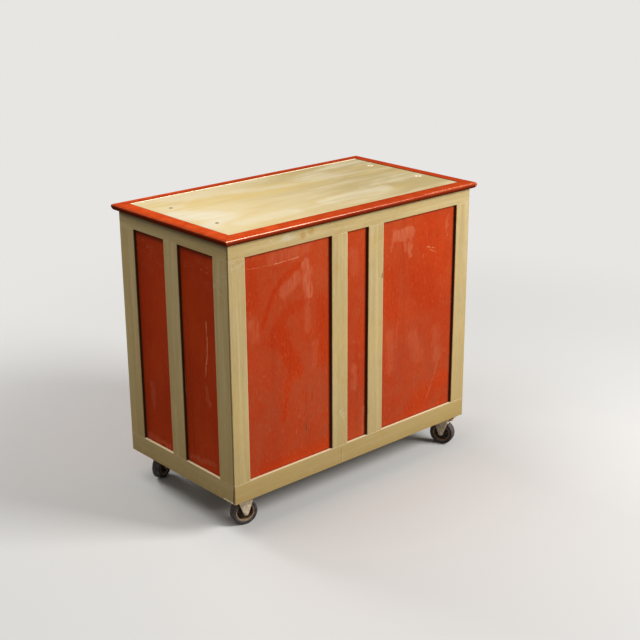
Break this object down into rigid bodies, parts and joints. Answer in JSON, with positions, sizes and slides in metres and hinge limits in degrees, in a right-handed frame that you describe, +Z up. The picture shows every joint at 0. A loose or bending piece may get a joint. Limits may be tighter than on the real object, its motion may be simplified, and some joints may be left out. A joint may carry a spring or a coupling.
{
  "type": "parts drawer cabinet",
  "caption": "Painted wooden cabinet on swivel casters: cream frame over red panels, cream top with red edging, and drawers with cup pulls that slide out of one long side.",
  "frame": {"origin": "centre of the footprint on the floor, z = 0 where the caster wheels stand", "axes": "+X along the length, +Z up, drawers open towards -Y; +Y is the panelled long side of the picture"},
  "size_m": [1.016, 0.564, 0.914],
  "materials": {
    "cream_paint": "brushed greenish cream paint on wood, worn and stained",
    "red_paint": "brushed orange-red paint on wood, chalky and scuffed",
    "edging_paint": "orange-red paint on a bullnose edging, semi-gloss",
    "pull_steel": "dull steel, darkened with age",
    "caster_steel": "zinc plated steel, dull, with rust spots and paint splashes",
    "wheel_rubber": "dusty dark grey rubber"
  },
  "bodies": {
    "cabinet": {"top_field": "cream_paint", "bottom_board": "cream_paint", "front_rail": "cream_paint", "back_top_rail": "cream_paint", "back_bottom_rail": "cream_paint", "left_top_rail": "cream_paint", "left_bottom_rail": "cream_paint", "right_top_rail": "cream_paint", "right_bottom_rail": "cream_paint", "back_post_left": "cream_paint", "back_post_right": "cream_paint", "front_stile_left": "cream_paint", "front_stile_right": "cream_paint", "left_mid_stile": "cream_paint", "right_mid_stile": "cream_paint", "back_mid_stile_left": "cream_paint", "back_mid_stile_right": "cream_paint", "shelf_upper": "cream_paint", "shelf_lower": "cream_paint", "partition_left": "cream_paint", "partition_right": "cream_paint", "end_board_left": "red_paint", "end_board_right": "red_paint", "back_board": "red_paint", "edging_back": "edging_paint", "edging_front": "edging_paint", "edging_left": "edging_paint", "edging_right": "edging_paint", "caster_plate_front_left": "caster_steel", "caster_plate_front_right": "caster_steel", "caster_plate_back_left": "caster_steel", "caster_plate_back_right": "caster_steel"},
    "top_left_drawer": {"drawer_top_left": "red_paint", "pull_top_left": "pull_steel"},
    "top_centre_drawer": {"drawer_top_centre": "red_paint", "pull_top_centre": "pull_steel"},
    "top_right_drawer": {"drawer_top_right": "red_paint", "pull_top_right": "pull_steel"},
    "middle_left_drawer": {"drawer_middle_left": "red_paint", "pull_middle_left": "pull_steel"},
    "middle_centre_drawer": {"drawer_middle_centre": "red_paint", "pull_middle_centre": "pull_steel"},
    "middle_right_drawer": {"drawer_middle_right": "red_paint", "pull_middle_right": "pull_steel"},
    "bottom_left_drawer": {"drawer_bottom_left": "red_paint", "pull_bottom_left": "pull_steel"},
    "bottom_centre_drawer": {"drawer_bottom_centre": "red_paint", "pull_bottom_centre": "pull_steel"},
    "bottom_right_drawer": {"drawer_bottom_right": "red_paint", "pull_bottom_right": "pull_steel"},
    "front_left_fork": {"caster_fork_front_left": "caster_steel"},
    "front_left_wheel": {"caster_wheel_front_left": "wheel_rubber"},
    "front_right_fork": {"caster_fork_front_right": "caster_steel"},
    "front_right_wheel": {"caster_wheel_front_right": "wheel_rubber"},
    "back_left_fork": {"caster_fork_back_left": "caster_steel"},
    "back_left_wheel": {"caster_wheel_back_left": "wheel_rubber"},
    "back_left_pedal": {"brake_pedal_back_left": "caster_steel"},
    "back_right_fork": {"caster_fork_back_right": "caster_steel"},
    "back_right_wheel": {"caster_wheel_back_right": "wheel_rubber"},
    "back_right_pedal": {"brake_pedal_back_right": "caster_steel"}
  },
  "joints": [
    {"name": "top_left_slide", "type": "slide", "parent": "cabinet", "child": "top_left_drawer", "axis": [0, -1, 0], "range_m": [0, 0.36]},
    {"name": "top_centre_slide", "type": "slide", "parent": "cabinet", "child": "top_centre_drawer", "axis": [0, -1, 0], "range_m": [0, 0.36]},
    {"name": "top_right_slide", "type": "slide", "parent": "cabinet", "child": "top_right_drawer", "axis": [0, -1, 0], "range_m": [0, 0.36]},
    {"name": "middle_left_slide", "type": "slide", "parent": "cabinet", "child": "middle_left_drawer", "axis": [0, -1, 0], "range_m": [0, 0.36]},
    {"name": "middle_centre_slide", "type": "slide", "parent": "cabinet", "child": "middle_centre_drawer", "axis": [0, -1, 0], "range_m": [0, 0.36]},
    {"name": "middle_right_slide", "type": "slide", "parent": "cabinet", "child": "middle_right_drawer", "axis": [0, -1, 0], "range_m": [0, 0.36]},
    {"name": "bottom_left_slide", "type": "slide", "parent": "cabinet", "child": "bottom_left_drawer", "axis": [0, -1, 0], "range_m": [0, 0.36]},
    {"name": "bottom_centre_slide", "type": "slide", "parent": "cabinet", "child": "bottom_centre_drawer", "axis": [0, -1, 0], "range_m": [0, 0.36]},
    {"name": "bottom_right_slide", "type": "slide", "parent": "cabinet", "child": "bottom_right_drawer", "axis": [0, -1, 0], "range_m": [0, 0.36]},
    {"name": "front_left_swivel", "type": "hinge", "parent": "cabinet", "child": "front_left_fork", "pos_m": [-0.4355, -0.2055, 0.095], "axis": [0, 0, 1], "continuous": true},
    {"name": "front_left_roll", "type": "hinge", "parent": "front_left_fork", "child": "front_left_wheel", "pos_m": [-0.45109, -0.1965, 0.041], "axis": [-0.5, -0.866, 0], "continuous": true},
    {"name": "front_right_swivel", "type": "hinge", "parent": "cabinet", "child": "front_right_fork", "pos_m": [0.4355, -0.2055, 0.095], "axis": [0, 0, 1], "continuous": true},
    {"name": "front_right_roll", "type": "hinge", "parent": "front_right_fork", "child": "front_right_wheel", "pos_m": [0.41919, -0.21311, 0.041], "axis": [0.4226, -0.9063, 0], "continuous": true},
    {"name": "back_left_swivel", "type": "hinge", "parent": "cabinet", "child": "back_left_fork", "pos_m": [-0.4355, 0.2055, 0.095], "axis": [0, 0, 1], "continuous": true},
    {"name": "back_left_roll", "type": "hinge", "parent": "back_left_fork", "child": "back_left_wheel", "pos_m": [-0.44253, 0.22207, 0.041], "axis": [-0.9205, -0.3907, 0], "continuous": true},
    {"name": "back_left_brake", "type": "hinge", "parent": "back_left_fork", "child": "back_left_pedal", "pos_m": [-0.44996, 0.23956, 0.084], "axis": [-0.9205, -0.3907, 0], "range_deg": [0, 10]},
    {"name": "back_right_swivel", "type": "hinge", "parent": "cabinet", "child": "back_right_fork", "pos_m": [0.4355, 0.2055, 0.095], "axis": [0, 0, 1], "continuous": true},
    {"name": "back_right_roll", "type": "hinge", "parent": "back_right_fork", "child": "back_right_wheel", "pos_m": [0.41803, 0.20986, 0.041], "axis": [-0.2419, -0.9703, 0], "continuous": true},
    {"name": "back_right_brake", "type": "hinge", "parent": "back_right_fork", "child": "back_right_pedal", "pos_m": [0.3996, 0.21445, 0.084], "axis": [-0.2419, -0.9703, 0], "range_deg": [0, 10]}
  ]
}
